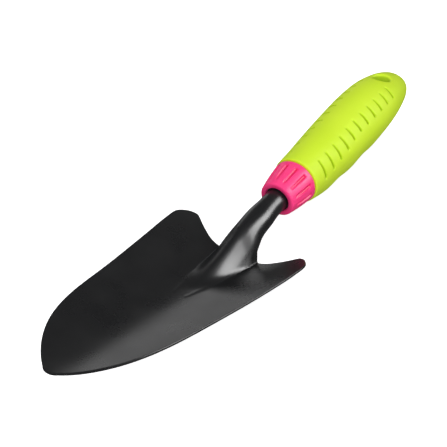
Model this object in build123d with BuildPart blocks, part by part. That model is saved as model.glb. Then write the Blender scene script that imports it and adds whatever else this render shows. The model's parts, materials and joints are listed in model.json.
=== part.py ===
"""A one-piece pressed-steel hand trowel with a moulded two-colour handle.

It lies as it rests on a table, on the blade's heel and the grip's belly. The origin is on the
table under the middle of its length, +X points to the butt of the handle and +Z is up. Sizes are
given in tool axes: stations run from the tip along the keel, heights are square to the keel, and
rest() and square_plane() carry them to where the trowel lies.
"""

import os
from math import cos, hypot, pi, radians, sin

from build123d import *

# ---- driving dimensions, mm and degrees -----------------------------------------------------
sheet = 1.3  # steel thickness
wing_slope_tip = 0.38  # the trough is a V with a rounded keel, steeper at the rear
wing_slope_rear = 0.54
keel_rounding = 14.0
dish_length = 150.0
tip_lift = 3.6  # the keel curves up this much at the tip
rib_blend = 3.0  # softness of the fold between rib and dish
dish_stations = (-4, 10, 30, 52, 70, 82, 91, 99, 107, 116, 126, 135, 140, 144, 146, 148, 152, 156)
neck_joint = 147.2  # station where the pressed blade becomes the rolled neck
neck_foot = 10.6  # half width of the sheet at that station
neck_roots = (144.0, 146.0, 148.0)  # the rolled neck starts inside the pressed sheet
neck_lap = 0.3
neck_base = 149.0  # the neck's centre line starts at this station and height
neck_start_height = 12.6
neck_lean = 28.0  # slope of the neck's centre line where it leaves the blade
neck_reach = 10.5  # how far that slope, and the handle's, hold along the neck
sheet_half_width = 45.0  # the pressing before its outline is cut
dish_points = 19  # points on each half of a dish section, and of a neck section
neck_points = 10

crank = 17.3  # handle axis against the keel
neck_end = (177.9, 24.6)  # centre of the tube where it enters the collar, (x, z)
tube_radius = 6.6
seam_angle = 177.0  # the rolled sheet stops this far round from the crest on each side
tang_length = 78.0
tang_hole_radius = 2.4
tang_holes = (46.0, 62.0)  # cross holes the core is moulded through

collar_length = 20.0
collar_front_radius = 10.4
collar_rear_radius = 13.5
collar_swell = 0.35  # the cone's side bulges by this much
collar_rounding = 1.0
collar_wall = 2.6
collar_face = 2.4  # thickness of the collar's front wall
collar_bore_radius = 7.5
flute_count = 13
flute_radius = 1.15
flute_length = 13.0
flute_centre = 10.0  # from the collar's face
flute_orbit = 12.5  # distance of the flute's middle from the handle's axis
flute_lean = 6.5
snap_at = 15.0  # bead of the core that snaps into a groove in the collar
snap_width = 2.4
snap_height = 0.5

grip_length = 123.0
grip_wall = 3.2
core_length = 92.0  # of the hard core inside the grip
core_sections = 12
wave_height = 2.0  # finger waves under the grip, two hollows between three swellings
wave_pitch = 24.5
wave_start = 16.0
wave_end = 65.0
slit_count = 11
slit_first = 9.8  # first slit, from the grip's front end
slit_pitch = 8.15
slit_width = 1.6
slit_depth = 1.3
slit_from = 27.0  # a slit runs between these angles from the top, longer near the collar
slit_to = 57.0
slit_growth = 26.0
slit_reach = 30.0  # the slits are cut in from this far out
hang_hole_at = 101.6
hang_hole_radius = 5.6
hang_rim = 1.8

grip_steps = [0.03 * i for i in range(29)] + [0.88, 0.91, 0.935, 0.955, 0.97, 0.982, 0.992, 1.0]

rest_pitch = 11.81  # the blade's heel and the grip's belly touch the table at this pitch
tip_at = (-161.54, 28.80)  # where the keel's tip lies then, (x, z)

# Blade outline behind the round nose, half of it: station from the tip, half width.
outline = [
    (2.0, 4.4),
    (4.4, 7.4),
    (11.4, 14.5),
    (22.8, 22.2),
    (42.7, 29.1),
    (71.0, 33.5),
    (99.8, 37.5),
    (115.0, 39.5),
    (128.0, 41.1),
    (136.0, 41.8),
    (141.5, 41.7),
    (146.0, 39.8),
    (150.0, 36.6),
    (151.7, 33.0),
    (149.8, 28.0),
    (147.0, 22.0),
    (145.5, 17.5),
    (145.7, 13.4),
    (neck_joint, neck_foot),
]
# The rib pressed into the blade: station, crest height, half width at keel level, and how
# round its section is, from 0 for flat flanks under a narrow crest to 1 for an ellipse.
rib_sections = [
    (92.0, -6.0, 3.5, 0.2),
    (100.0, -2.4, 5.0, 0.2),
    (108.0, 1.4, 6.8, 0.2),
    (118.0, 5.6, 8.6, 0.2),
    (128.0, 10.3, 10.2, 0.3),
    (138.0, 15.9, 11.4, 0.5),
    (146.0, 20.2, 11.6, 0.9),
    (154.0, 23.7, 11.0, 1.0),
]
# The rolled neck: share of its length, half width, half height, wrap angle on each side.
neck_sections = [
    (0.45, 7.6, 7.1, 155.0),
    (0.7, 6.8, 6.8, 170.0),
    (1.0, tube_radius, tube_radius, seam_angle),
]
# The grip: share of its length, half width, height above and depth below the handle's axis.
grip_sections = [
    (0.00, 13.9, 14.2, 14.8),
    (0.10, 14.6, 14.4, 19.2),
    (0.20, 15.7, 14.6, 20.9),
    (0.32, 16.8, 15.0, 20.6),
    (0.45, 17.4, 16.1, 20.0),
    (0.60, 17.8, 16.8, 17.9),
    (0.75, 17.0, 15.7, 14.4),
    (0.88, 14.3, 11.7, 9.6),
    (0.95, 11.1, 8.3, 6.7),
    (0.98, 8.0, 5.9, 4.7),
    (1.00, 3.2, 2.6, 2.0),
]


def rest(x, z):
    """Where a point of the tool's middle plane is as the trowel lies."""
    pitch = radians(rest_pitch)
    return (
        tip_at[0] + x * cos(pitch) + z * sin(pitch),
        0,
        tip_at[1] - x * sin(pitch) + z * cos(pitch),
    )


def square_plane(x, z, lean):
    """Plane square to a line that leans from the keel: local X across the tool, local Y up."""
    turn = radians(lean - rest_pitch)
    return Plane(origin=rest(x, z), x_dir=(0, 1, 0), z_dir=(cos(turn), 0, sin(turn)))


def handle_plane(along):
    """Plane square to the handle, measured from the collar's face."""
    lean = radians(crank)
    return square_plane(neck_end[0] + along * cos(lean), neck_end[1] + along * sin(lean), crank)


def between(rows, at):
    """Smooth curve through the rows of a table, whose first column is the station."""
    low = max(i for i in range(len(rows) - 1) if rows[i][0] <= max(at, rows[0][0]))
    before, start, stop, after = (rows[min(max(low + k, 0), len(rows) - 1)] for k in (-1, 0, 1, 2))
    step = stop[0] - start[0]
    u = min(max((at - start[0]) / step, 0), 1)
    values = []
    for k in range(1, len(start)):
        leave = (stop[k] - before[k]) / (stop[0] - before[0]) * step
        arrive = (after[k] - start[k]) / (after[0] - start[0]) * step
        values.append(
            start[k] * (1 + 2 * u) * (1 - u) ** 2
            + leave * u * (1 - u) ** 2
            + stop[k] * u * u * (3 - 2 * u)
            - arrive * u * u * (1 - u)
        )
    return values


def dish(x, y):
    """Height of the scoop's upper face, with the neck's rib rising out of it."""
    along = x / dish_length
    slope = wing_slope_tip + (wing_slope_rear - wing_slope_tip) * along**3
    trough = slope * (hypot(y, keel_rounding) - keel_rounding) + tip_lift * max(1 - along, 0) ** 2
    if x < rib_sections[0][0]:
        return trough
    crest, half_width, roundness = between(rib_sections, x)
    side = abs(y) / half_width
    shape = roundness * max(1 - side**2, 0.1) ** 0.6 + (1 - roundness) * max(1 - side**1.3, 0.1)
    rib = crest * shape - max(crest, 1) * 3 * max(side - 0.95, 0)
    share = max(rib_blend - abs(trough - rib), 0) / rib_blend
    return max(trough, rib) + share * share * rib_blend / 4


def evenly(points, count):
    """Resample a polyline at equal distances."""
    reach = [0.0]
    for a, b in zip(points, points[1:]):
        reach.append(reach[-1] + hypot(b[0] - a[0], b[1] - a[1]))
    result = []
    low = 0
    for i in range(count):
        target = reach[-1] * i / (count - 1)
        while low < len(points) - 2 and reach[low + 1] < target:
            low += 1
        u = (target - reach[low]) / (reach[low + 1] - reach[low])
        a, b = points[low], points[low + 1]
        result.append((a[0] + (b[0] - a[0]) * u, a[1] + (b[1] - a[1]) * u))
    return result


def inward(points, distance):
    """Offset a section line to its right-hand side."""
    result = []
    for i, (px, py) in enumerate(points):
        ax, ay = points[max(i - 1, 0)]
        bx, by = points[min(i + 1, len(points) - 1)]
        size = hypot(bx - ax, by - ay)
        result.append((px + distance * (by - ay) / size, py - distance * (bx - ax) / size))
    return result


def section(x, half_width, count):
    """Section of the dish at one station, from left to right, as (y, z)."""
    fine = [(half_width * i / 200, dish(x, half_width * i / 200)) for i in range(201)]
    half = evenly(fine, count)
    return [(-y, z) for y, z in reversed(half[1:])] + half


def neck_centre(share):
    """Centre line of the rolled neck: station, height and the line's lean there."""
    start = (neck_base, neck_start_height)
    leave = radians(neck_lean)
    arrive = radians(crank)
    knots = [
        start,
        (start[0] + neck_reach * cos(leave), start[1] + neck_reach * sin(leave)),
        (neck_end[0] - neck_reach * cos(arrive), neck_end[1] - neck_reach * sin(arrive)),
        neck_end,
    ]
    rest = 1 - share
    weights = [rest**3, 3 * share * rest**2, 3 * share**2 * rest, share**3]
    x, z = (sum(w * p[k] for w, p in zip(weights, knots)) for k in (0, 1))
    return x, z, neck_lean + (crank - neck_lean) * share


def sheet_section(plane, upper, thickness=sheet):
    """One section through the sheet on a plane: upper line, lower line and two edges."""
    lower = inward(upper, thickness)
    marks = [i / (len(upper) - 1) for i in range(len(upper))]
    with BuildSketch(plane) as profile:
        with BuildLine():
            add(Edge.make_spline([Vector(*p) for p in upper], parameters=marks))
            Line(upper[-1], lower[-1])
            add(Edge.make_spline([Vector(*p) for p in reversed(lower)], parameters=marks))
            Line(lower[0], upper[0])
        make_face()
    return profile.sketch


def rolled_section(plane, half_width, half_height, wrap):
    """Section of the sheet rolled into an open tube."""
    turns = [radians(wrap) * i / (neck_points - 1) for i in range(1 - neck_points, neck_points)]
    return sheet_section(plane, [(half_width * sin(t), half_height * cos(t)) for t in turns])


def oval(plane, half_width, above, below):
    """Section of the handle: two half ellipses that share the half width."""
    with BuildSketch(plane) as profile:
        with BuildLine():
            EllipticalCenterArc((0, 0), half_width, above, start_angle=0, arc_size=180)
            EllipticalCenterArc((0, 0), half_width, below, start_angle=180, arc_size=180)
        make_face()
    return profile.sketch


def grip_size(along, inset=0.0, waves=True):
    """Half width, height above and depth below the axis of the grip at one station."""
    half_width, above, below = between(grip_sections, along / grip_length)
    if waves and wave_start < along < wave_end:
        below -= wave_height * (0.5 - 0.5 * cos(2 * pi * (along - wave_start) / wave_pitch))
    return half_width - inset, above - inset, below - inset


# ---- blade: pressed dish, rolled neck and tang, one sheet of steel --------------------------
pitch = radians(rest_pitch)
keel = Plane(origin=rest(0, 0), x_dir=(cos(pitch), 0, -sin(pitch)), z_dir=(sin(pitch), 0, cos(pitch)))
with BuildPart() as blade:
    loft(
        [
            sheet_section(square_plane(x, 0, 0), section(x, sheet_half_width, dish_points))
            for x in dish_stations
        ]
    )
    with BuildSketch(keel.offset(-3 * sheet)):
        with BuildLine():
            ThreePointArc((outline[0][0], -outline[0][1]), (0, 0), outline[0])
            side = Spline(*outline)
            mirror(side, about=Plane.XZ)
            Line((neck_joint, neck_foot), (neck_joint, -neck_foot))
        make_face()
    extrude(amount=2 * sheet_half_width, mode=Mode.INTERSECT)

    neck = []
    for x in neck_roots:
        foot = inward(section(x, neck_foot - neck_lap, neck_points), neck_lap)
        neck.append(sheet_section(square_plane(x, 0, 0), foot, sheet - 2 * neck_lap))
    for share, half_width, half_height, wrap in neck_sections:
        plane = square_plane(*neck_centre(share))
        neck.append(rolled_section(plane, half_width, half_height, wrap))
    loft(neck)
    extrude(neck[-1], amount=tang_length)
    with Locations(*[handle_plane(along) for along in tang_holes]):
        Cylinder(tang_hole_radius, 4 * tube_radius, rotation=(0, 90, 0), mode=Mode.SUBTRACT)
blade.part.label = "blade"

# ---- collar: the fluted cone at the mouth of the handle -------------------------------------
face = handle_plane(0)
handle_axis = Axis(face.origin, face.z_dir)
half_plane = Plane(origin=face.origin, x_dir=face.z_dir, z_dir=(0, -1, 0))
socket_rise = (collar_rear_radius - collar_front_radius) / collar_length
socket = [
    (s, collar_front_radius - collar_wall + socket_rise * s + bead)
    for s, bead in (
        (collar_face, 0),
        (snap_at - snap_width / 2, 0),
        (snap_at, snap_height),
        (snap_at + snap_width / 2, 0),
        (collar_length, 0),
    )
]
with BuildPart() as collar:
    with BuildSketch(half_plane):
        with BuildLine():
            Polyline(
                (0, collar_bore_radius),
                (collar_face, collar_bore_radius),
                *socket,
                (collar_length, collar_rear_radius),
            )
            ThreePointArc(
                (collar_length, collar_rear_radius),
                (collar_length / 2, (collar_front_radius + collar_rear_radius) / 2 + collar_swell),
                (0, collar_front_radius),
            )
            Line((0, collar_front_radius), (0, collar_bore_radius))
        make_face()
    revolve(axis=handle_axis)
    fillet(collar.edges().sort_by(handle_axis)[:2], collar_rounding)
    with Locations(face):
        with PolarLocations(0, flute_count, start_angle=-90):
            with Locations(Location((flute_orbit, 0, flute_centre), (0, flute_lean, 0))):
                Cylinder(flute_radius, flute_length, mode=Mode.SUBTRACT)
collar.part.label = "collar"

# ---- handle core: hard plastic moulded round the tang, with a nose that snaps into the collar
with BuildPart() as handle_core:
    core_steps = [core_length * i / core_sections for i in range(core_sections + 1)]
    loft(
        [
            oval(handle_plane(collar_length + s), *grip_size(s, grip_wall, False))
            for s in core_steps
        ]
    )
    with BuildSketch(half_plane):
        with BuildLine():
            Polyline((collar_face, 0), *socket, (collar_length, 0), close=True)
        make_face()
    revolve(axis=handle_axis)
    add(blade.part, mode=Mode.SUBTRACT)
handle_core.part.label = "handle_core"

# ---- grip: soft sleeve over the core, with slits on both flanks and an eye to hang it by -----
with BuildPart() as grip:
    loft(
        [
            oval(handle_plane(collar_length + grip_length * share), *grip_size(grip_length * share))
            for share in grip_steps
        ]
    )
    add(blade.part, mode=Mode.SUBTRACT)
    add(handle_core.part, mode=Mode.SUBTRACT)
    for slit in range(slit_count):
        along = slit_first + slit * slit_pitch
        until = slit_to + slit_growth * max(1 - slit / 3, 0)
        with BuildSketch(handle_plane(collar_length + along - slit_width / 2)):
            for hand in (-1, 1):
                fan = [(hand * sin(radians(a)), cos(radians(a))) for a in (slit_from, until)]
                with BuildLine():
                    Polyline((0, 0), *[(slit_reach * x, slit_reach * y) for x, y in fan], close=True)
                make_face()
            add(oval(Plane.XY, *grip_size(along, slit_depth)), mode=Mode.SUBTRACT)
        extrude(amount=slit_width, mode=Mode.SUBTRACT)
    with Locations(handle_plane(collar_length + hang_hole_at)):
        Cylinder(hang_hole_radius, 8 * tube_radius, rotation=(90, 0, 0), mode=Mode.SUBTRACT)
    rims = [edge for edge in grip.edges(Select.LAST) if edge.length > 4 * hang_hole_radius]
    fillet(rims, hang_rim)
grip.part.label = "grip"

os.makedirs("parts", exist_ok=True)
export_step(blade.part, "parts/blade.step")
export_step(collar.part, "parts/collar.step")
export_step(handle_core.part, "parts/handle_core.step")
export_step(grip.part, "parts/grip.step")
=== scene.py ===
"""The looks of a hand trowel: painted pressed steel, a fluted collar and a soft lime grip.

Every shape is worked out in tool axes, in millimetres: stations run from the blade's tip along its
keel, heights are square to the keel, and the handle has an axis of its own. lay() carries a point
to where the trowel lies, in metres. The dimensions are those of the CAD part. The collar's step,
the slits' outline and the rounded edges are finer here.
"""

import json
import math

import bmesh
import bpy
import numpy as np
from mathutils import Matrix, Vector

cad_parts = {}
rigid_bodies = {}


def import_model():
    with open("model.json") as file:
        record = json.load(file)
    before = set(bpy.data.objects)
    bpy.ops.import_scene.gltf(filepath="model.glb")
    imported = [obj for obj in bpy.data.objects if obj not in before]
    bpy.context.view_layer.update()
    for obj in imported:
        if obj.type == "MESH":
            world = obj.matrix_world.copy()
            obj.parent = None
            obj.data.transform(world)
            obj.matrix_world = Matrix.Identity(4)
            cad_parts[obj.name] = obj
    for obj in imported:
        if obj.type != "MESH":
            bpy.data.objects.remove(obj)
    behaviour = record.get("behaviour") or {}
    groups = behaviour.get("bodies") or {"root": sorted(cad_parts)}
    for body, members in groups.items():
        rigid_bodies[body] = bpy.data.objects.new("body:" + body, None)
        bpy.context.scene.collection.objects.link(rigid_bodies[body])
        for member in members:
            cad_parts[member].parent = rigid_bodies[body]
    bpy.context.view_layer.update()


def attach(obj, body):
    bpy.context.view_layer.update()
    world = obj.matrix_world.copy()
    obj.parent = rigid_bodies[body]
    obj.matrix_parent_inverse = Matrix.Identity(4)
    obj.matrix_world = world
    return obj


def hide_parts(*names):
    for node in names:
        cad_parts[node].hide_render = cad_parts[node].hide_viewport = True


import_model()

MM = 0.001

# ---- the trowel's dimensions, mm and degrees ------------------------------------------------
REST_PITCH = 11.81  # how far the tool axes are tipped as the trowel lies
TIP_AT = (-161.54, 28.80)  # where the keel's tip lies then, (x, z)

SHEET = 1.3
DISH_LENGTH = 150.0
TIP_LIFT = 3.6  # how far the keel rises to the tip
WING_SLOPE_TIP, WING_SLOPE_REAR = 0.38, 0.54  # rise of the wings per mm of width
KEEL_ROUNDING = 14.0
RIB_BLEND = 3.0  # height over which the rib's foot blends into the trough
RIB_ROUND, RIB_SHARP = 0.6, 1.3  # exponents of its round section and of its pointed one
RIB_FLOOR, RIB_FALL_FROM, RIB_FALL = 0.1, 0.95, 3.0  # it falls away steeply beyond its foot
NECK_BASE, NECK_START_HEIGHT = 149.0, 12.6  # where the neck's centre line starts
NECK_END = (177.9, 24.6)  # where it meets the collar's face
NECK_LEAN, CRANK = 28.0, 17.3  # its lean to the keel at the start, and at the end
NECK_REACH = 10.5  # from its ends to the control points of its curve
TANG = 78.0

COLLAR_LENGTH = 20.0
COLLAR_FRONT, COLLAR_REAR, COLLAR_SWELL = 10.4, 13.5, 0.35  # radii at the ends, bulge between
COLLAR_BORE, COLLAR_WALL, COLLAR_FACE = 7.5, 2.6, 2.4
FLUTES = 13

GRIP_LENGTH, GRIP_WALL = 123.0, 3.2
CORE_LENGTH = 92.0  # depth of the grip's cavity
WAVE_HEIGHT, WAVE_PITCH, WAVE_START, WAVE_END = 2.0, 24.5, 16.0, 65.0  # finger waves below
SLITS, SLIT_FIRST, SLIT_PITCH = 11, 9.8, 8.15
HOLE_AT, HOLE_RADIUS, HOLE_RIM = 101.6, 5.6, 1.8

# Blade outline behind the round nose, half of it: station from the tip, half width.
OUTLINE = [
    (2.0, 4.4), (4.4, 7.4), (11.4, 14.5), (22.8, 22.2), (42.7, 29.1), (71.0, 33.5), (99.8, 37.5),
    (115.0, 39.5), (128.0, 41.1), (136.0, 41.8), (141.5, 41.7), (146.0, 39.8), (150.0, 36.6),
    (151.7, 33.0), (149.8, 28.0), (147.0, 22.0), (145.5, 17.5), (145.7, 13.4), (147.2, 10.6),
]
# The rib: station, crest height, half width at keel level, roundness of its section.
RIB = [
    (92.0, -6.0, 3.5, 0.2), (100.0, -2.4, 5.0, 0.2), (108.0, 1.4, 6.8, 0.2), (118.0, 5.6, 8.6, 0.2),
    (128.0, 10.3, 10.2, 0.3), (138.0, 15.9, 11.4, 0.5), (146.0, 20.2, 11.6, 0.9),
    (154.0, 23.7, 11.0, 1.0),
]
# The rolled neck: share of its length, half width, half height, wrap angle on each side.
NECK = [(0.45, 7.6, 7.1, 155.0), (0.7, 6.8, 6.8, 170.0), (1.0, 6.6, 6.6, 177.0)]
# The grip: share of its length, half width, height above and depth below the handle's axis.
GRIP = [
    (0.00, 13.9, 14.2, 14.8), (0.10, 14.6, 14.4, 19.2), (0.20, 15.7, 14.6, 20.9),
    (0.32, 16.8, 15.0, 20.6), (0.45, 17.4, 16.1, 20.0), (0.60, 17.8, 16.8, 17.9),
    (0.75, 17.0, 15.7, 14.4), (0.88, 14.3, 11.7, 9.6), (0.95, 11.1, 8.3, 6.7),
    (0.98, 8.0, 5.9, 4.7), (1.00, 3.2, 2.6, 2.0),
]

# How finely the pieces are modelled, and how the blade's grid is laid out.
CREASE = 50.0  # edges sharper than this stay sharp, in degrees
RIM = 0.42  # rounding of the sheet's edges
RIM_STEPS = 4  # cells in that rounding
EDGE_MARGIN = 0.2  # the edge stays this far inside the outline
NOSE_STEPS, EDGE_STEPS, ROOT_STEPS = 60, 600, 200  # fine lines that are resampled later
ROWS, COLUMNS = 160, 56  # cells along the dish, and across half of it
NECK_COLUMNS = 20  # of those columns, the ones that go on into the neck
NECK_SHARE = 0.3  # how much of the dish's width they take at its nose
NOSE_REACH = 6.0  # length of the edge that the grid's first row takes
NECK_STEPS = 56  # cells along the neck
NECK_RUN_IN = (6.0, 12.0)  # stations inside the collar that keep the neck straight there


# ---- places ---------------------------------------------------------------------------------
def lay(x, y, z):
    """A point in tool axes, in mm, to its place as the trowel lies, in metres."""
    pitch = math.radians(REST_PITCH)
    return Vector(
        (
            TIP_AT[0] + x * math.cos(pitch) + z * math.sin(pitch),
            y,
            TIP_AT[1] - x * math.sin(pitch) + z * math.cos(pitch),
        )
    ) * MM


def on_handle(along, across, up):
    """A point beside the handle's axis, measured from the collar's face, in metres."""
    lean = math.radians(CRANK)
    x = NECK_END[0] + along * math.cos(lean) - up * math.sin(lean)
    z = NECK_END[1] + along * math.sin(lean) + up * math.cos(lean)
    return lay(x, across, z)


def between(rows, at):
    """Smooth curve through the rows of a table, whose first column is the station."""
    low = 0
    while low < len(rows) - 2 and rows[low + 1][0] <= at:
        low += 1
    before, start = rows[max(low - 1, 0)], rows[low]
    stop, after = rows[low + 1], rows[min(low + 2, len(rows) - 1)]
    step = stop[0] - start[0]
    u = min(max((at - start[0]) / step, 0), 1)
    values = []
    for k in range(1, len(start)):
        leave = (stop[k] - before[k]) / (stop[0] - before[0]) * step
        arrive = (after[k] - start[k]) / (after[0] - start[0]) * step
        values.append(
            start[k] * (1 + 2 * u) * (1 - u) ** 2
            + leave * u * (1 - u) ** 2
            + stop[k] * u * u * (3 - 2 * u)
            - arrive * u * u * (1 - u)
        )
    return values


def smooth(low, high, value):
    """0 below low, 1 above high, and a soft step between."""
    u = min(max((value - low) / (high - low), 0), 1)
    return u * u * (3 - 2 * u)


# ---- materials ------------------------------------------------------------------------------
NOISE_LOW, NOISE_HIGH = 0.3, 0.7  # nearly all values of a noise lie between these


class Finish:
    """A material under construction: a Principled surface and the nodes that feed it."""

    def __init__(self, name, specular):
        self.material = bpy.data.materials.new(name)
        self.material.use_nodes = True
        self.nodes = self.material.node_tree.nodes
        self.links = self.material.node_tree.links
        self.surface = self.nodes["Principled BSDF"]
        self.surface.inputs["Specular IOR Level"].default_value = specular
        self.place = self.nodes.new("ShaderNodeTexCoord").outputs["Object"]

    def noise(self, size, detail, stretch=(1, 1, 1)):
        """Noise whose features are about this many millimetres across."""
        mapping = self.nodes.new("ShaderNodeMapping")
        mapping.inputs["Scale"].default_value = [k / (size * MM) for k in stretch]
        self.links.new(self.place, mapping.inputs["Vector"])
        noise = self.nodes.new("ShaderNodeTexNoise")
        noise.inputs["Scale"].default_value = 1.0
        noise.inputs["Detail"].default_value = detail
        self.links.new(mapping.outputs["Vector"], noise.inputs["Vector"])
        return noise.outputs["Fac"]

    def spread(self, value, low, high):
        """Map a noise value to a range."""
        node = self.nodes.new("ShaderNodeMapRange")
        node.inputs["From Min"].default_value = NOISE_LOW
        node.inputs["From Max"].default_value = NOISE_HIGH
        node.inputs["To Min"].default_value = low
        node.inputs["To Max"].default_value = high
        self.links.new(value, node.inputs["Value"])
        return node.outputs["Result"]

    def blend(self, value, low, high):
        """Map a noise value to a mix of two colours."""
        node = self.nodes.new("ShaderNodeValToRGB")
        first, last = node.color_ramp.elements
        first.position, first.color = NOISE_LOW, (*low, 1)
        last.position, last.color = NOISE_HIGH, (*high, 1)
        self.links.new(value, node.inputs["Fac"])
        return node.outputs["Color"]

    def sunk(self, low, high):
        """A painted shade mask: 0 down to the depth low, 1 below high; the mesh stores its depth in
        a groove, in mm.
        """
        depth = self.nodes.new("ShaderNodeAttribute")
        depth.attribute_name = "depth"
        node = self.nodes.new("ShaderNodeMapRange")
        node.inputs["From Min"].default_value = low
        node.inputs["From Max"].default_value = high
        self.links.new(depth.outputs["Fac"], node.inputs["Value"])
        return node.outputs["Result"]

    def paint_shade(self, color, share, other):
        """Paint shade: mix a colour with a fixed other one, a darker shade of it, by a painted
        shade mask.
        """
        node = self.nodes.new("ShaderNodeMix")
        node.data_type = "RGBA"
        factor = next(i for i in node.inputs if i.name == "Factor" and i.type == "VALUE")
        base, top = (i for i in node.inputs if i.type == "RGBA")
        top.default_value = (*other, 1)
        self.links.new(share, factor)
        self.links.new(color, base)
        return next(o for o in node.outputs if o.type == "RGBA")

    def bump(self, value, height, below=None):
        """Add fine relief, height in millimetres, on top of the relief below it."""
        node = self.nodes.new("ShaderNodeBump")
        node.inputs["Distance"].default_value = height * MM
        node.inputs["Strength"].default_value = 1.0
        self.links.new(value, node.inputs["Height"])
        if below:
            self.links.new(below, node.inputs["Normal"])
        return node.outputs["Normal"]

    def scatter(self, weight, radius, scale):
        """Let light seep into the surface."""
        self.surface.inputs["Subsurface Weight"].default_value = weight
        self.surface.inputs["Subsurface Radius"].default_value = radius
        self.surface.inputs["Subsurface Scale"].default_value = scale

    def feed(self, **sockets):
        """Link values to the surface; an underscore in a name stands for a space."""
        for name, value in sockets.items():
            self.links.new(value, self.surface.inputs[name.replace("_", " ")])


def powder_coat():
    """Satin black powder coat: fine orange peel, and a little cloudiness in its gloss."""
    finish = Finish("satin black powder coat", specular=0.5)
    cloud = finish.noise(18, 4)
    peel = finish.noise(0.9, 2)
    grain = finish.noise(0.22, 2)
    relief = finish.bump(peel, 0.006)
    finish.feed(
        Base_Color=finish.blend(cloud, (0.0070, 0.0072, 0.0080), (0.0105, 0.0108, 0.0115)),
        Roughness=finish.spread(cloud, 0.26, 0.31),
        Normal=finish.bump(grain, 0.0015, relief),
    )
    return finish.material


def collar_plastic():
    """Hot pink polypropylene, semi-gloss from the mould, with faint flow marks; its flutes and the
    step at the grip's mouth are painted dark red as shade.
    """
    finish = Finish("hot pink plastic", specular=0.25)
    finish.scatter(0.12, (1.0, 0.25, 0.45), 0.0015)
    flow = finish.noise(7, 3, (0.3, 1, 1))
    grain = finish.noise(0.3, 2)
    finish.feed(
        # Painted shade: the flutes and the step at the grip's mouth are painted dark red by their
        # depth.
        Base_Color=finish.paint_shade(
            finish.blend(flow, (0.96, 0.045, 0.215), (0.99, 0.055, 0.24)),
            finish.sunk(0.25, 1.2),
            (0.72, 0.006, 0.09),
        ),
        Roughness=finish.spread(flow, 0.33, 0.42),
        Normal=finish.bump(grain, 0.003),
    )
    return finish.material


def grip_rubber():
    """Lime thermoplastic rubber: matt, with a fine moulded grain and slightly uneven colour; its
    slits are painted dark green as shade.
    """
    finish = Finish("lime soft rubber", specular=0.12)
    finish.scatter(0.15, (1.0, 1.0, 0.3), 0.002)
    cloud = finish.noise(25, 3)
    skin = finish.noise(1.2, 3)
    grain = finish.noise(0.28, 2)
    relief = finish.bump(skin, 0.012)
    finish.feed(
        # Painted shade: the slits are painted dark green by their depth.
        Base_Color=finish.paint_shade(
            finish.blend(cloud, (0.600, 0.825, 0.030), (0.640, 0.850, 0.042)),
            finish.sunk(0.2, 1.2),
            (0.30, 0.47, 0.0),
        ),
        Roughness=finish.spread(skin, 0.48, 0.58),
        Normal=finish.bump(grain, 0.008, relief),
    )
    return finish.material


def core_plastic():
    """Plain dark plastic of the hidden core, with the dull skin of a filled moulding."""
    finish = Finish("dark core plastic", specular=0.4)
    cloud = finish.noise(6, 3)
    finish.feed(
        Base_Color=finish.blend(cloud, (0.045, 0.045, 0.047), (0.058, 0.058, 0.06)),
        Roughness=finish.spread(cloud, 0.55, 0.65),
        Normal=finish.bump(finish.noise(0.4, 2), 0.006),
    )
    return finish.material


def pale_paper():
    """The studio's pale floor, which glows a little so that shadows on it stay faint."""
    finish = Finish("pale floor", specular=0.0)
    finish.surface.inputs["Emission Color"].default_value = (1, 1, 1, 1)
    finish.surface.inputs["Emission Strength"].default_value = 0.8
    finish.feed(
        Base_Color=finish.blend(finish.noise(400, 2), (0.9, 0.9, 0.9), (0.92, 0.92, 0.92)),
        Roughness=finish.spread(finish.noise(50, 2), 0.9, 1.0),
    )
    return finish.material


# ---- blade ----------------------------------------------------------------------------------
def dish(x, y):
    """Height of the scoop's upper face, with the neck's rib rising out of it."""
    along = x / DISH_LENGTH
    slope = WING_SLOPE_TIP + (WING_SLOPE_REAR - WING_SLOPE_TIP) * along**3
    wing = slope * (math.hypot(y, KEEL_ROUNDING) - KEEL_ROUNDING)
    trough = wing + TIP_LIFT * max(1 - along, 0) ** 2
    if x < RIB[0][0]:
        return trough
    crest, half_width, roundness = between(RIB, x)
    side = abs(y) / half_width
    round_shape = max(1 - side**2, RIB_FLOOR) ** RIB_ROUND
    sharp_shape = max(1 - side**RIB_SHARP, RIB_FLOOR)
    shape = roundness * round_shape + (1 - roundness) * sharp_shape
    rib = crest * shape - max(crest, 1) * RIB_FALL * max(side - RIB_FALL_FROM, 0)
    share = max(RIB_BLEND - abs(trough - rib), 0) / RIB_BLEND
    return max(trough, rib) + share * share * RIB_BLEND / 4


class Curve:
    """Smooth curve through points, straight at its ends, timed by distance or by given times."""

    def __init__(self, points, times=None):
        self.points = np.array(points, float)
        self.times = distances(self.points) if times is None else times
        gap = np.diff(self.times)
        slope = np.diff(self.points, axis=0) / gap[:, None]
        rows = np.eye(len(self.times))
        right = np.zeros_like(self.points)
        for i in range(1, len(self.times) - 1):
            rows[i, i - 1 : i + 2] = gap[i - 1], 2 * (gap[i - 1] + gap[i]), gap[i]
            right[i] = 6 * (slope[i] - slope[i - 1])
        self.bend = np.linalg.solve(rows, right)

    def at(self, time):
        """The point of the curve at a time."""
        i = int(np.clip(np.searchsorted(self.times, time) - 1, 0, len(self.times) - 2))
        gap = self.times[i + 1] - self.times[i]
        b = (time - self.times[i]) / gap
        a = 1 - b
        bow = (a**3 - a) * self.bend[i] + (b**3 - b) * self.bend[i + 1]
        return a * self.points[i] + b * self.points[i + 1] + bow * gap * gap / 6


def distances(points):
    """How far along a line each of its points lies."""
    steps = np.linalg.norm(np.diff(points, axis=0), axis=1)
    return np.concatenate(([0.0], np.cumsum(steps)))


def part_of(points, start, stop, count):
    """Points at equal distances on the stretch of a line between two distances along it."""
    wanted = np.linspace(start, stop, count)
    reach = distances(points)
    return np.stack([np.interp(wanted, reach, values) for values in points.T], axis=1)


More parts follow.
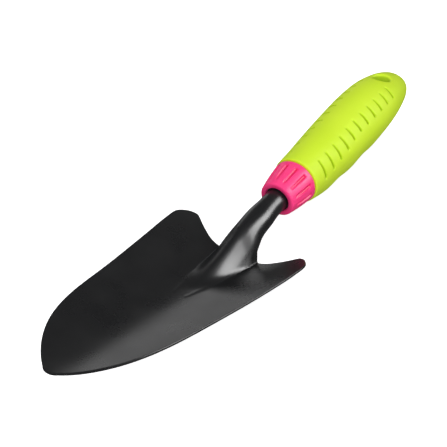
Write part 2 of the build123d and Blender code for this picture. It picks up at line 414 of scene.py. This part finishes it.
def blade_outline():
    """Half of the blade's edge, from tip to neck, set in by the rounding that is added later."""
    # The nose is an arc that crosses the keel squarely and ends at the table's first point.
    nose = OUTLINE[0]
    radius = (nose[0] ** 2 + nose[1] ** 2) / (2 * nose[0])
    sweep = math.asin(nose[1] / radius)
    line = []
    for i in range(NOSE_STEPS):
        turn = sweep * i / NOSE_STEPS
        line.append((radius - radius * math.cos(turn), radius * math.sin(turn)))
    side = Curve(OUTLINE)
    for i in range(EDGE_STEPS + 1):
        line.append(tuple(side.at(side.times[-1] * i / EDGE_STEPS)))
    line = np.array(line)
    # Where a wing leans, its thickness reaches outwards, so the edge is set in further there.
    run = np.gradient(line, axis=0)
    run /= np.linalg.norm(run, axis=1)[:, None]
    lean = WING_SLOPE_REAR * line[:, 0] / DISH_LENGTH * np.minimum(line[:, 1] / KEEL_ROUNDING, 1)
    inset = RIM + EDGE_MARGIN + SHEET * lean * np.abs(run[:, 0])
    inner = line + inset[:, None] * np.stack([run[:, 1], -run[:, 0]], axis=1)
    inner[0] = (inset[0], 0)
    return inner


def dish_grid():
    """Half of the pressed dish as rows of (x, y), from the nose to where the neck starts."""
    # Four borders: the keel, the nose, the wing's edge up to its horn, and the rear. The rear is
    # the neck's root and then the edge from the horn's tip back to it.
    edge = blade_outline()
    reach = distances(edge)
    horn = reach[int(np.argmax(edge[:, 0] + edge[:, 1]))]
    joint_x, joint_y = edge[-1]
    root = np.array([(y, dish(joint_x, y)) for y in np.linspace(0, joint_y, ROOT_STEPS)])
    root = part_of(root, 0, distances(root)[-1], NECK_COLUMNS + 1)
    root[:, 1] = root[:, 0]
    root[:, 0] = joint_x
    nose = part_of(edge, 0, NOSE_REACH, COLUMNS + 1)
    side = part_of(edge, NOSE_REACH, horn, ROWS + 1)
    lobe = part_of(edge, horn, reach[-1], COLUMNS - NECK_COLUMNS + 1)[::-1]
    rear = np.concatenate((root, lobe[1:]))
    share = np.concatenate(
        (
            np.linspace(0, NECK_SHARE, NECK_COLUMNS + 1),
            np.linspace(NECK_SHARE, 1, COLUMNS - NECK_COLUMNS + 1)[1:],
        )
    )
    keel = np.stack([np.linspace(edge[0, 0], joint_x, ROWS + 1), np.zeros(ROWS + 1)], axis=1)
    # A grid that blends from border to border.
    s = share[None, :, None]
    u = np.linspace(0, 1, ROWS + 1)[:, None, None]
    grid = (1 - s) * keel[:, None] + s * side[:, None] + (1 - u) * nose[None] + u * rear[None]
    corners = (1 - u) * (1 - s) * nose[0] + (1 - u) * s * nose[-1]
    corners = corners + u * (1 - s) * rear[0] + u * s * rear[-1]
    return grid - corners


def neck_centre(share):
    """Centre line of the rolled neck: station, height and the line's lean there."""
    leave, arrive = math.radians(NECK_LEAN), math.radians(CRANK)
    start_x, start_z = NECK_BASE, NECK_START_HEIGHT
    end_x, end_z = NECK_END
    knots = (
        (start_x, start_z),
        (start_x + NECK_REACH * math.cos(leave), start_z + NECK_REACH * math.sin(leave)),
        (end_x - NECK_REACH * math.cos(arrive), end_z - NECK_REACH * math.sin(arrive)),
        (end_x, end_z),
    )
    rest = 1 - share
    weights = (rest**3, 3 * share * rest**2, 3 * share**2 * rest, share**3)
    x, z = (sum(w * p[k] for w, p in zip(weights, knots)) for k in (0, 1))
    return x, z, math.radians(NECK_LEAN + (CRANK - NECK_LEAN) * share)


def rolled(share, turn_share, beyond=0.0):
    """Point on the rolled sheet, some share of the way from its crest to its edge."""
    x, z, lean = neck_centre(share)
    half_width, half_height, wrap = between(NECK, share)
    turn = (math.radians(wrap) - RIM / half_width) * turn_share
    up = half_height * math.cos(turn)
    return (
        x - up * math.sin(lean) + beyond * math.cos(lean),
        half_width * math.sin(turn),
        z + up * math.cos(lean) + beyond * math.sin(lean),
    )


def neck_grid(dish_rows):
    """Half of the neck and tang as rows of (x, y, z), going on from the last row of the dish."""
    columns = []
    for j in range(NECK_COLUMNS + 1):
        share = j / NECK_COLUMNS
        knots = [dish_rows[-4][j], dish_rows[-1][j]]
        knots += [rolled(section[0], share) for section in NECK]
        knots += [rolled(1.0, share, beyond) for beyond in NECK_RUN_IN]
        columns.append(knots)
    middle = Curve(columns[0])
    start = middle.times[1]
    rows = []
    for i in range(1, NECK_STEPS + 1):
        time = start + (middle.times[-1] - start) * i / NECK_STEPS
        rows.append([Curve(knots, middle.times).at(time) for knots in columns])
    rows.append([rolled(1.0, j / NECK_COLUMNS, TANG) for j in range(NECK_COLUMNS + 1)])
    return rows


def mirrored(row):
    """A row of points of the left half, with the right half put before it."""
    return [(x, -y, z) for x, y, z in reversed(row[1:])] + list(row)


def add_rows(bm, rows, first=None):
    """Add a grid of vertices and its faces; first is a row that is already there."""
    verts = [first] if first else []
    for row in rows:
        verts.append([bm.verts.new(lay(*point)) for point in row])
    for low, high in zip(verts, verts[1:]):
        for j in range(len(high) - 1):
            bm.faces.new((low[j], high[j], high[j + 1], low[j + 1]))
    return verts


def give_thickness(bm, thickness, rounding):
    """Turn an open sheet into a solid one, rounded outwards from its present edge."""
    bm.normal_update()
    faces = list(bm.faces)
    normal = {v: v.normal.copy() for v in bm.verts}
    under = {v: bm.verts.new(v.co - normal[v] * thickness) for v in list(bm.verts)}
    # The border, as the vertex that follows each vertex on it.
    following = {}
    for edge in bm.edges:
        if len(edge.link_loops) == 1:
            loop = edge.link_loops[0]
            following[loop.vert] = loop.link_loop_next.vert
    for face in faces:
        bm.faces.new([under[v] for v in reversed(face.verts)])
    preceding = {after: before for before, after in following.items()}
    profile = []
    for k in range(1, RIM_STEPS + 1):
        turn = math.pi / 2 * k / RIM_STEPS
        profile.append((rounding * math.sin(turn), rounding * (1 - math.cos(turn))))
    profile += [(out, thickness - down) for out, down in reversed(profile)]
    rings = {}
    for vert in following:
        run = (following[vert].co - preceding[vert].co).normalized()
        out = run.cross(normal[vert]).normalized()
        rings[vert] = [vert]
        for outward, down in profile:
            rings[vert].append(bm.verts.new(vert.co + out * outward - normal[vert] * down))
        rings[vert].append(under[vert])
    for vert, after in following.items():
        for a, b, c, d in zip(rings[vert], rings[after], rings[after][1:], rings[vert][1:]):
            bm.faces.new((b, a, d, c))


def add_piece(bm, name, material, node):
    """Make a smooth mesh object that stands for a node of the CAD part."""
    bmesh.ops.recalc_face_normals(bm, faces=bm.faces)
    mesh = bpy.data.meshes.new(name)
    bm.to_mesh(mesh)
    bm.free()
    mesh.polygons.foreach_set("use_smooth", [True] * len(mesh.polygons))
    mesh.set_sharp_from_angle(angle=math.radians(CREASE))
    mesh.materials.append(material)
    piece = bpy.data.objects.new(name, mesh)
    bpy.context.collection.objects.link(piece)
    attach(piece, "root")
    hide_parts(node)


def make_blade():
    """The pressed blade, rolled neck and tang, one sheet of steel."""
    plan = dish_grid()
    dish_rows = [[(x, y, dish(x, y)) for x, y in row] for row in plan]
    neck_rows = neck_grid(dish_rows)
    bm = bmesh.new()
    verts = add_rows(bm, [mirrored(row) for row in dish_rows])
    root = verts[-1][COLUMNS - NECK_COLUMNS : COLUMNS + NECK_COLUMNS + 1]
    add_rows(bm, [mirrored(row) for row in neck_rows], first=root)
    give_thickness(bm, SHEET * MM, RIM * MM)
    add_piece(bm, "steel_blade", powder_coat(), "blade")


# ---- collar ---------------------------------------------------------------------------------
FLUTE_FROM, FLUTE_TO = 2.6, 16.5  # stations of a flute's ends
FLUTE_RISE, FLUTE_STOP = 2.0, 0.5  # how long its shallow front end and its blunt rear end are
FLUTE_RADIUS, FLUTE_ORBIT, FLUTE_LEAN = 1.15, 12.5, 6.5  # of the cutter, at mid-length
FLUTE_COLUMNS = (0.08, 0.16, 0.24, 0.31, 0.36, 0.41, 0.475, 0.6, 0.8)  # shares of half a pitch
COLLAR_ROUNDING, COLLAR_ROUNDING_STEPS = 1.0, 6
COLLAR_STATIONS = (
    1.6, 2.4, 3.2, 3.5, 4.0, 5.0, 6.0, 7.0, 8.5, 10.0, 11.5, 13.0, 14.5, 15.5, 15.9, 16.1, 16.3,
    16.5, 16.8, 17.6, 18.4, 18.9,
)
STEP_AT, STEP_DEPTH = 19.05, 0.8  # the collar steps in where the grip's mouth meets it
STEP_STATIONS = (STEP_AT, 19.5, COLLAR_LENGTH)
BORE_CHAMFER = 0.3


def collar_surface(along):
    """Radius of the collar's side, a cone that swells a little."""
    share = along / COLLAR_LENGTH
    straight = COLLAR_FRONT + (COLLAR_REAR - COLLAR_FRONT) * share
    return straight + 4 * COLLAR_SWELL * share * (1 - share)


def flute_depth(along, turn):
    """How far a flute sinks below the collar's side, turn radians off the flute's middle."""
    orbit = FLUTE_ORBIT + (along - COLLAR_LENGTH / 2) * math.tan(math.radians(FLUTE_LEAN))
    inside = FLUTE_RADIUS**2 - (orbit * math.sin(turn)) ** 2
    if inside <= 0:
        return 0
    floor = orbit * math.cos(turn) - math.sqrt(inside)
    front = smooth(FLUTE_FROM, FLUTE_FROM + FLUTE_RISE, along)
    rear = 1 - smooth(FLUTE_TO - FLUTE_STOP, FLUTE_TO, along)
    return max(collar_surface(along) - floor, 0) * front * rear


def collar_outside():
    """The collar's outer section as (along, radius), from its front edge to its wide end."""
    section = [(0.0, COLLAR_FRONT - COLLAR_ROUNDING)]
    for k in reversed(range(COLLAR_ROUNDING_STEPS)):
        turn = math.pi / 2 * k / COLLAR_ROUNDING_STEPS
        along = COLLAR_ROUNDING * (1 - math.sin(turn))
        inset = COLLAR_ROUNDING * (1 - math.cos(turn))
        section.append((along, collar_surface(COLLAR_ROUNDING) - inset))
    section += [(along, collar_surface(along)) for along in COLLAR_STATIONS]
    section += [(along, collar_surface(along) - STEP_DEPTH) for along in STEP_STATIONS]
    return section


def collar_inside():
    """The rest of the section: the socket behind the front wall, and the bore for the neck."""
    wall = COLLAR_FRONT - COLLAR_WALL
    rise = (COLLAR_REAR - COLLAR_FRONT) / COLLAR_LENGTH
    socket = [(along, wall + rise * along) for along in (COLLAR_LENGTH, COLLAR_FACE)]
    bore = [(along, COLLAR_BORE) for along in (COLLAR_FACE, BORE_CHAMFER)]
    return [*socket, *bore, (0.0, COLLAR_BORE + BORE_CHAMFER)]


def make_collar():
    """The fluted cone: an outside with grooves, a bored front wall and a socket behind it."""
    outside, inside = collar_outside(), collar_inside()
    shares = [-1] + [-share for share in reversed(FLUTE_COLUMNS)] + [0, *FLUTE_COLUMNS]
    pitch = 2 * math.pi / FLUTES
    bm = bmesh.new()
    depth = bm.verts.layers.float.new("depth")
    lines = []
    for flute in range(FLUTES):
        for share in shares:
            off = share * pitch / 2
            turn = (flute + 0.5) * pitch + off
            column = []
            for along, radius in outside:
                sunk = flute_depth(along, off)
                # The depth stored here drives the painted shade; the step stores its full depth,
                # which paints a shadow line at the grip's mouth.
                column.append((along, radius - sunk, STEP_DEPTH if along >= STEP_AT else sunk))
            column += [(along, radius, 0) for along, radius in inside]
            line = []
            for along, radius, deep in column:
                place = on_handle(along, radius * math.sin(turn), radius * math.cos(turn))
                line.append(bm.verts.new(place))
                line[-1][depth] = deep
            lines.append(line)
    close_both_ways(bm, lines)
    add_piece(bm, "fluted_collar", collar_plastic(), "collar")


def close_both_ways(bm, lines):
    """Add the faces of a surface that closes on itself both ways."""
    for i, here in enumerate(lines):
        after = lines[(i + 1) % len(lines)]
        for j in range(len(here)):
            k = (j + 1) % len(here)
            bm.faces.new((here[j], here[k], after[k], after[j]))


# ---- grip -----------------------------------------------------------------------------------
GRIP_COLUMNS = 144
MOUTH_ROUNDING = 0.6
MOUTH_PROFILE = ((0.0, 1), (0.06, 0.6), (0.2, 0.25), (MOUTH_ROUNDING, 0))  # station, share inset
MOUTH_STATIONS = (1.8, 3.2, 4.8, 6.2, 7.6)
BUTT_AT, BUTT_ROWS = 120.0, 26  # rows run evenly from the last slit to here
BUTT_STATIONS = (120.6, 121.2, 121.8, 122.3, 122.7, GRIP_LENGTH)
BUTT_SHRINK = (0.62, 0.28)  # size of the rings that close the butt
CAVITY_STATIONS = (0.0, 8.0, 20.0, 32.0, 44.0, 56.0, 68.0, 80.0, CORE_LENGTH)

# The slits. Those near the collar start further down the side and reach further round it.
SLIT_DEPTH, SLIT_SHALLOW = 1.5, 0.6  # deepest, and share of that where a slit starts
SLIT_HALF_WIDTH, SLIT_WIDENING = 0.75, 0.35
SLIT_FROM, SLIT_FROM_MORE, SLIT_FROM_FADE = 26.0, 9.0, 4.0  # degrees, degrees, slits
SLIT_TO, SLIT_TO_MORE, SLIT_TO_FADE = 58.0, 31.0, 4.5
SLIT_OPEN, SLIT_CLOSE = 0.1, 0.92  # shares of its length between which it is fully deep
SLIT_ROOM, SLIT_GAP_ROWS = 1.5, 5  # half of the length kept for a slit, rows between two slits
SLIT_PROFILE = (  # place across the slit in half widths, share of the depth there
    (-1.3, 0), (-1, 0.05), (-0.8, 0.8), (-0.4, 1), (0, 1),
    (0.4, 1), (0.8, 0.8), (1, 0.05), (1.3, 0),
)

EYE_RIM = HOLE_RADIUS + HOLE_RIM
EYE_STEPS = 7  # rings of the skin around the eye, and again of its rounded rim
EYE_REACH = GRIP_COLUMNS // 9  # columns on each side of the middle that the eye's gap takes
EYE_BEFORE, EYE_BEHIND = 0.4, 2.5  # the gap is at least this much longer than the rim
EYE_BAND = 1.5  # half of the height of the last band, in the middle of the eye


def grip_size(along, waves=True):
    """Half width, height above and depth below the axis of the grip at one station."""
    half_width, above, below = between(GRIP, along / GRIP_LENGTH)
    if waves and WAVE_START < along < WAVE_END:
        wave = 0.5 - 0.5 * math.cos(2 * math.pi * (along - WAVE_START) / WAVE_PITCH)
        below -= WAVE_HEIGHT * wave
    return half_width, above, below


def grip_point(along, turn, inset=0.0, shrink=1.0, waves=True):
    """Point of the grip's oval at an angle from the top, in radians, as (along, across, up)."""
    half_width, above, below = grip_size(along, waves)
    height = above if math.cos(turn) > 0 else below
    across = (half_width - inset) * math.sin(turn) * shrink
    return along, across, (height - inset) * math.cos(turn) * shrink


def skin_height(along, across, side):
    """Height of the grip's skin above the axis (side 1) or below it (side -1)."""
    half_width, above, below = grip_size(along)
    height = above if side > 0 else below
    return side * height * math.sqrt(max(1 - (across / half_width) ** 2, 0))


def slit_shape(slit, turn):
    """Half width and depth of a slit at some angle from the top, in degrees."""
    start = SLIT_FROM + SLIT_FROM_MORE * max(1 - slit / SLIT_FROM_FADE, 0)
    until = SLIT_TO + SLIT_TO_MORE * max(1 - slit / SLIT_TO_FADE, 0)
    share = (abs(turn) - start) / (until - start)
    deep = SLIT_DEPTH * smooth(0, SLIT_OPEN, share) * (1 - smooth(SLIT_CLOSE, 1, share))
    share = min(max(share, 0), 1)
    half_width = SLIT_HALF_WIDTH + SLIT_WIDENING * share
    return half_width, deep * (SLIT_SHALLOW + (1 - SLIT_SHALLOW) * share)


def plain_row(at, deep=0.0):
    """A row of the grip that keeps to one station and depth all round."""
    return lambda turn: (at, deep)


def slit_row(slit, place, share):
    """A row of the grip that runs along a slit, at some place across it."""

    def row(turn):
        half_width, deep = slit_shape(slit, turn)
        return SLIT_FIRST + SLIT_PITCH * slit + place * half_width, deep * share

    return row


def grip_rows():
    """Every row of the grip's skin: the station and depth it has at an angle, in degrees."""
    rows = [plain_row(at, MOUTH_ROUNDING * share) for at, share in MOUTH_PROFILE]
    rows += [plain_row(at) for at in MOUTH_STATIONS]
    gap = (SLIT_PITCH - 2 * SLIT_ROOM) / (SLIT_GAP_ROWS + 1)
    for slit in range(SLITS):
        rows += [slit_row(slit, place, share) for place, share in SLIT_PROFILE]
        behind = SLIT_FIRST + SLIT_PITCH * slit + SLIT_ROOM
        rows += [plain_row(behind + gap * k) for k in range(1, SLIT_GAP_ROWS + 1)]
    last = behind + gap * SLIT_GAP_ROWS
    rows += [plain_row(last + (BUTT_AT - last) * k / BUTT_ROWS) for k in range(1, BUTT_ROWS + 1)]
    return rows + [plain_row(at) for at in BUTT_STATIONS]


def add_ring(bm, points):
    """Add vertices at (along, across, up), measured from the grip's mouth."""
    places = [on_handle(COLLAR_LENGTH + along, across, up) for along, across, up in points]
    return [bm.verts.new(place) for place in places]


def bridge(bm, low, high):
    """Add the faces between two closed rings."""
    for j in range(len(low)):
        k = (j + 1) % len(low)
        bm.faces.new((low[j], high[j], high[k], low[k]))


def add_skin(bm, turns):
    """Add the rings of the grip's skin. Their points come back as well."""
    depth = bm.verts.layers.float.new("depth")
    degrees = [math.degrees(turn if turn <= math.pi else turn - 2 * math.pi) for turn in turns]
    skin, rings = [], []
    for row in grip_rows():
        places = [row(turn) for turn in degrees]
        skin.append([grip_point(along, turn, deep) for (along, deep), turn in zip(places, turns)])
        rings.append(add_ring(bm, skin[-1]))
        for vert, (along, deep) in zip(rings[-1], places):
            # The slits' depth is stored for the painted shade in them; the mouth's rounding stores
            # none.
            vert[depth] = deep if along > MOUTH_ROUNDING else 0
    return skin, rings


def eye_rings(outline, side):
    """Rings of points from the gap in the skin over the eye's rounded rim and down into it."""
    angles = [math.atan2(across, along - HOLE_AT) for along, across in outline]
    for k in range(1, EYE_STEPS + 1):
        share = (smooth(0, 1, k / EYE_STEPS) + k / EYE_STEPS) / 2
        points = []
        for (along, across), angle in zip(outline, angles):
            along += (HOLE_AT + EYE_RIM * math.cos(angle) - along) * share
            across += (EYE_RIM * math.sin(angle) - across) * share
            points.append((along, across, skin_height(along, across, side)))
        yield points
    for k in range(1, EYE_STEPS + 1):
        turn = math.pi / 2 * k / EYE_STEPS
        radius = EYE_RIM - HOLE_RIM * math.sin(turn)
        down = side * HOLE_RIM * (1 - math.cos(turn))
        points = []
        for angle in angles:
            along, across = HOLE_AT + radius * math.cos(angle), radius * math.sin(angle)
            points.append((along, across, skin_height(along, across, side) - down))
        yield points
    middle = (skin_height(HOLE_AT, 0, 1) + skin_height(HOLE_AT, 0, -1)) / 2
    for share in (0.5, 1):
        yield [(a, b, c + (middle + side * EYE_BAND - c) * share) for a, b, c in points]


def add_eye_mouth(bm, skin, rings, span, first, last, side):
    """One mouth of the hanging eye, from a square gap in the skin to the middle of the eye."""
    around = [(first, j) for j in span]
    around += [(i, span[-1]) for i in range(first + 1, last + 1)]
    around += [(last, j) for j in reversed(span[:-1])]
    around += [(i, span[0]) for i in range(last - 1, first, -1)]
    outer = [rings[i][j] for i, j in around]
    for points in eye_rings([skin[i][j][:2] for i, j in around], side):
        inner = add_ring(bm, points)
        bridge(bm, outer, inner)
        outer = inner
    return outer


def make_grip():
    """The soft sleeve: slits, finger waves, an eye through the butt and a cavity for the core."""
    bm = bmesh.new()
    turns = [2 * math.pi * j / GRIP_COLUMNS for j in range(GRIP_COLUMNS)]
    skin, rings = add_skin(bm, turns)

    first = max(i for i, row in enumerate(skin) if row[0][0] < HOLE_AT - EYE_RIM - EYE_BEFORE)
    last = min(i for i, row in enumerate(skin) if row[0][0] > HOLE_AT + EYE_RIM + EYE_BEHIND)
    top = [k % GRIP_COLUMNS for k in range(-EYE_REACH, EYE_REACH + 1)]
    bottom = [(k + GRIP_COLUMNS // 2) % GRIP_COLUMNS for k in reversed(top)]
    gap = {(i, j) for i in range(first, last) for j in top[:-1] + bottom[1:]}
    for i in range(len(rings) - 1):
        for j in range(GRIP_COLUMNS):
            if (i, j) not in gap:
                k = (j + 1) % GRIP_COLUMNS
                bm.faces.new((rings[i][j], rings[i + 1][j], rings[i + 1][k], rings[i][k]))
    above = add_eye_mouth(bm, skin, rings, top, first, last, 1)
    below = add_eye_mouth(bm, skin, rings, bottom, first, last, -1)
    bridge(bm, above, below)

    outer = rings[-1]
    for shrink in BUTT_SHRINK:
        inner = add_ring(bm, [grip_point(GRIP_LENGTH, turn, shrink=shrink) for turn in turns])
        bridge(bm, outer, inner)
        outer = inner
    bm.faces.new(outer)

    outer = rings[0]
    for along in CAVITY_STATIONS:
        inner = add_ring(bm, [grip_point(along, turn, GRIP_WALL, waves=False) for turn in turns])
        bridge(bm, inner, outer)
        outer = inner
    bm.faces.new(reversed(outer))
    add_piece(bm, "soft_grip", grip_rubber(), "grip")


# ---- studio ---------------------------------------------------------------------------------
FLOOR_REACH = 4.0  # metres on each side of the trowel

# The camera: lens and place in mm, and the directions it looks in.
LENS, SENSOR = 72.5, 36.0
CAMERA_AT = (-333.34, -207.07, 304.67)
CAMERA_FORWARD = (0.65792, 0.45472, -0.60031)
CAMERA_RIGHT = (0.57480, -0.81823, 0.01017)
CAMERA_UP = (0.48657, 0.35175, 0.79970)
CLIP_START = 0.01


def add_floor():
    """A wide pale sheet under the trowel. It lights nothing and shows in no reflection."""
    mesh = bpy.data.meshes.new("floor")
    sides = ((-1, -1), (1, -1), (1, 1), (-1, 1))
    corners = [(x * FLOOR_REACH, y * FLOOR_REACH, 0) for x, y in sides]
    mesh.from_pydata(corners, [], [(0, 1, 2, 3)])
    mesh.materials.append(pale_paper())
    floor = bpy.data.objects.new("floor", mesh)
    floor.visible_glossy = False
    floor.visible_diffuse = False
    bpy.context.collection.objects.link(floor)


def add_softbox(name, direction, distance, size, power, diffuse=True, glossy=True):
    """An area light that faces the trowel; lengths in metres, power in watts."""
    light = bpy.data.lights.new(name, "AREA")
    light.shape = "RECTANGLE"
    light.size, light.size_y = size
    light.energy = power
    box = bpy.data.objects.new(name, light)
    box.visible_diffuse = diffuse
    box.visible_glossy = glossy
    away = Vector(direction).normalized()
    box.location = away * distance
    box.rotation_euler = away.to_track_quat("Z", "Y").to_euler()
    bpy.context.collection.objects.link(box)


def add_camera():
    """The camera: it looks down on the trowel from beyond the blade's tip."""
    camera = bpy.data.cameras.new("camera")
    camera.lens = LENS
    camera.sensor_width = SENSOR
    camera.clip_start = CLIP_START
    view = bpy.data.objects.new("camera", camera)
    back = -Vector(CAMERA_FORWARD)
    turn = Matrix((CAMERA_RIGHT, CAMERA_UP, back)).transposed().to_4x4()
    view.matrix_world = Matrix.Translation(Vector(CAMERA_AT) * MM) @ turn
    bpy.context.collection.objects.link(view)
    bpy.context.scene.camera = view


def add_light():
    """Soft studio light: an even pale room, three soft lights, and two that only show as gloss."""
    world = bpy.data.worlds.new("room")
    world.use_nodes = True
    background = world.node_tree.nodes["Background"]
    background.inputs["Color"].default_value = (1, 1, 1, 1)
    background.inputs["Strength"].default_value = 0.12
    bpy.context.scene.world = world
    bpy.context.scene.view_settings.view_transform = "Standard"
    add_softbox("overhead", (-0.2, 0.3, 1), 1.5, (2.4, 2.4), 22, glossy=False)
    add_softbox("fill", (-0.8, -0.5, 0.6), 1.6, (1.6, 1.2), 15.5, glossy=False)
    add_softbox("bounce", (-0.2, -0.9, 0.05), 1.6, (1.6, 0.8), 18, glossy=False)
    add_softbox("side", (0.46, -0.68, 0.57), 1.3, (0.66, 0.80), 21, diffuse=False)
    add_softbox("backdrop", (0.7, 0.7, 0.1), 1.5, (1.0, 0.36), 1.2, diffuse=False)


def dress_core():
    """Give the hidden core, which stays as the CAD made it, its material."""
    for part in bpy.data.objects:
        if part.type == "MESH" and part.name.startswith("handle_core"):
            part.data.materials.clear()
            part.data.materials.append(core_plastic())


add_camera()
make_blade()
make_collar()
make_grip()
add_floor()
add_light()
dress_core()
